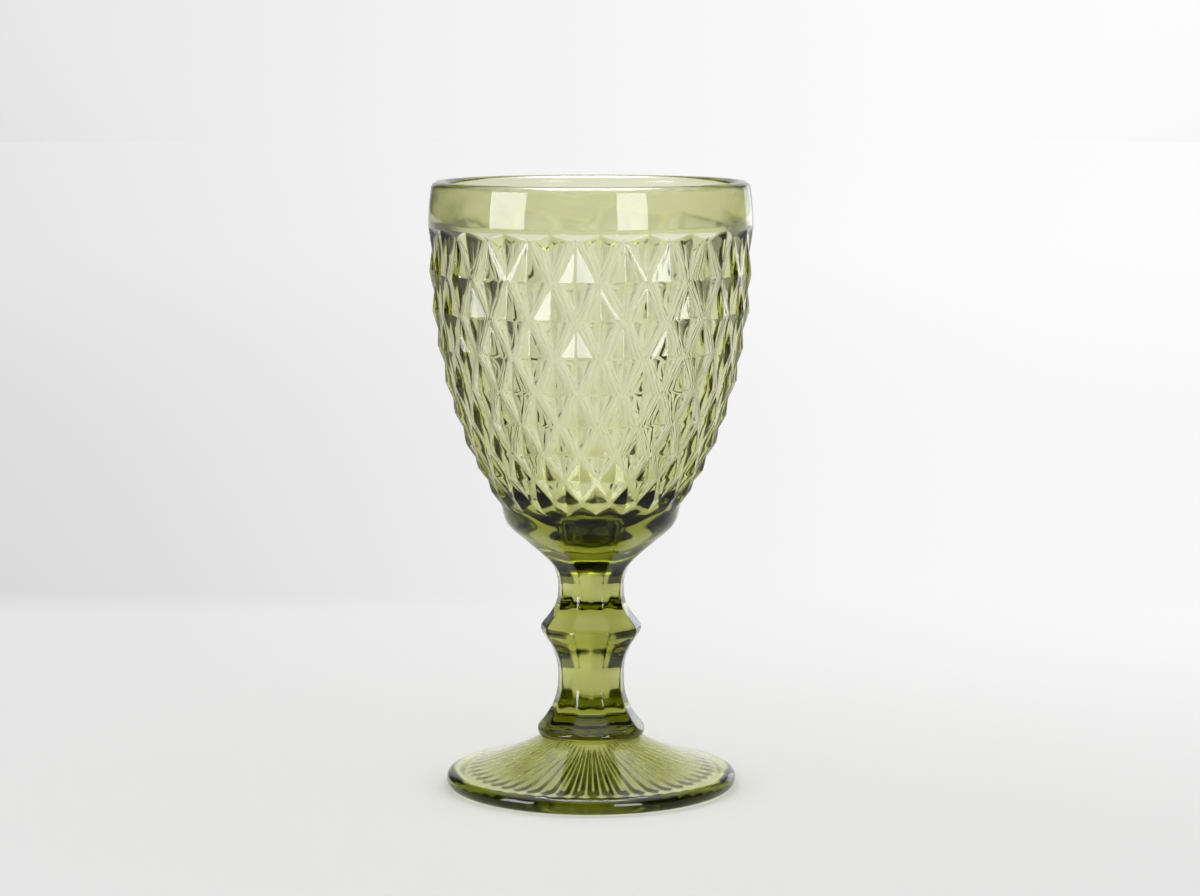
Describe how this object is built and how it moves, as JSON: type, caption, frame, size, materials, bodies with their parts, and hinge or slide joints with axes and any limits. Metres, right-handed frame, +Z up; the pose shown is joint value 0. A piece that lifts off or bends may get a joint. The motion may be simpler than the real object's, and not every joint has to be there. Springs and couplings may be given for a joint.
{
  "type": "drinking goblet",
  "caption": "Olive-green pressed glass goblet with a footed, faceted knop stem and a bowl covered in raised diamonds under a smooth rim band.",
  "frame": {"origin": "centre of the foot's rest plane, on the axis of the goblet", "axes": "+Z up the axis from the foot to the rim, -Y towards the viewer of the picture, +X to the viewer's right"},
  "size_m": [0.0874, 0.0873, 0.165],
  "materials": {
    "foot_glass": "fire-polished pressed glass, clear pale olive green, glossy, coloured in the mass",
    "stem_glass": "fire-polished pressed glass, clear pale olive green, glossy, coloured in the mass",
    "bowl_glass": "fire-polished pressed glass, clear pale olive green, glossy, coloured in the mass"
  },
  "bodies": {
    "root": {"foot": "foot_glass", "stem": "stem_glass", "bowl": "bowl_glass"}
  },
  "joints": []
}
